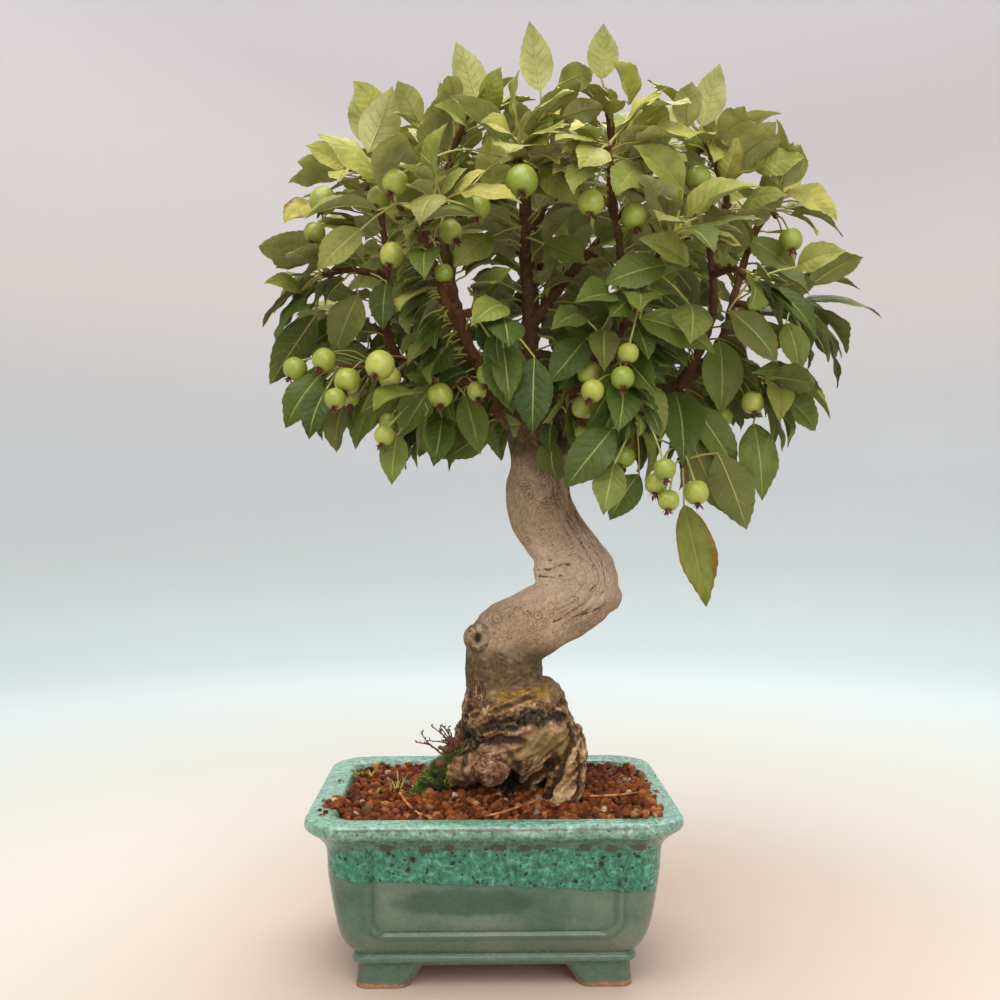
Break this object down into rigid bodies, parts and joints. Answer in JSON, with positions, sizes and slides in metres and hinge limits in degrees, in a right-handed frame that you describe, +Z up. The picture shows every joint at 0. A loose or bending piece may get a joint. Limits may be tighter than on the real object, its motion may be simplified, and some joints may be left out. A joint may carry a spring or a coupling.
{
  "type": "hall crabapple bonsai in a pot",
  "caption": "Hall crabapple bonsai with a bent trunk, leafy rounded crown and hanging green fruits, standing in soil in an oblong glazed pot with corner feet.",
  "frame": {"origin": "under the middle of the whole plant's bounding box, on the surface that the pot's feet stand on", "axes": "+X along the pot's long side, to the right seen from the front, +Y from front to back, +Z up"},
  "size_m": [0.334, 0.248, 0.501],
  "materials": {
    "pot_glaze": "gloss",
    "drain_screen": "matte",
    "soil": "matte",
    "bark": "matte",
    "leaf": "satin",
    "fruit": "satin"
  },
  "bodies": {
    "root": {"pot": "pot_glaze", "drain_screen_left": "drain_screen", "drain_screen_right": "drain_screen", "soil": "soil", "trunk": "bark", "shoot_far_left_tip": "leaf", "shoot_far_left_upper": "leaf", "shoot_far_left_low": "leaf", "shoot_far_left_back": "leaf", "shoot_left_tip": "leaf", "shoot_left_front": "leaf", "shoot_left_back": "leaf", "shoot_left_low": "leaf", "shoot_centre_tip": "leaf", "shoot_centre_front": "leaf", "shoot_centre_back": "leaf", "shoot_front_left_tip": "leaf", "shoot_front_left_low": "leaf", "shoot_front_right_tip": "leaf", "shoot_front_right_low": "leaf", "shoot_right_inner_tip": "leaf", "shoot_right_inner_front": "leaf", "shoot_right_middle_tip": "leaf", "shoot_right_middle_front": "leaf", "shoot_right_tip": "leaf", "shoot_right_outer": "leaf", "shoot_right_low": "leaf", "shoot_right_hanging": "leaf", "shoot_upper_right_tip": "leaf", "shoot_upper_right_back": "leaf", "shoot_back_up_tip": "leaf", "shoot_back_up_right": "leaf", "shoot_back_up_left": "leaf", "shoot_back_left_tip": "leaf", "shoot_back_left_low": "leaf", "shoot_back_left_side": "leaf", "shoot_back_right_tip": "leaf", "shoot_back_right_low": "leaf", "shoot_back_right_side": "leaf", "fruits_far_left_low": "fruit", "fruits_left_low": "fruit", "fruits_far_left_tip": "fruit", "fruits_left_front": "fruit", "fruits_centre_front": "fruit", "fruits_right_inner_front": "fruit", "fruits_right_middle_tip": "fruit", "fruits_right_tip": "fruit", "fruits_front_right_low": "fruit", "fruits_right_hanging": "fruit", "fruits_right_low": "fruit", "fruits_back_left_side": "fruit", "fruits_back_left_tip": "fruit", "fruits_back_up_tip": "fruit", "fruits_back_right_tip": "fruit", "fruits_upper_right_back": "fruit"}
  },
  "joints": []
}
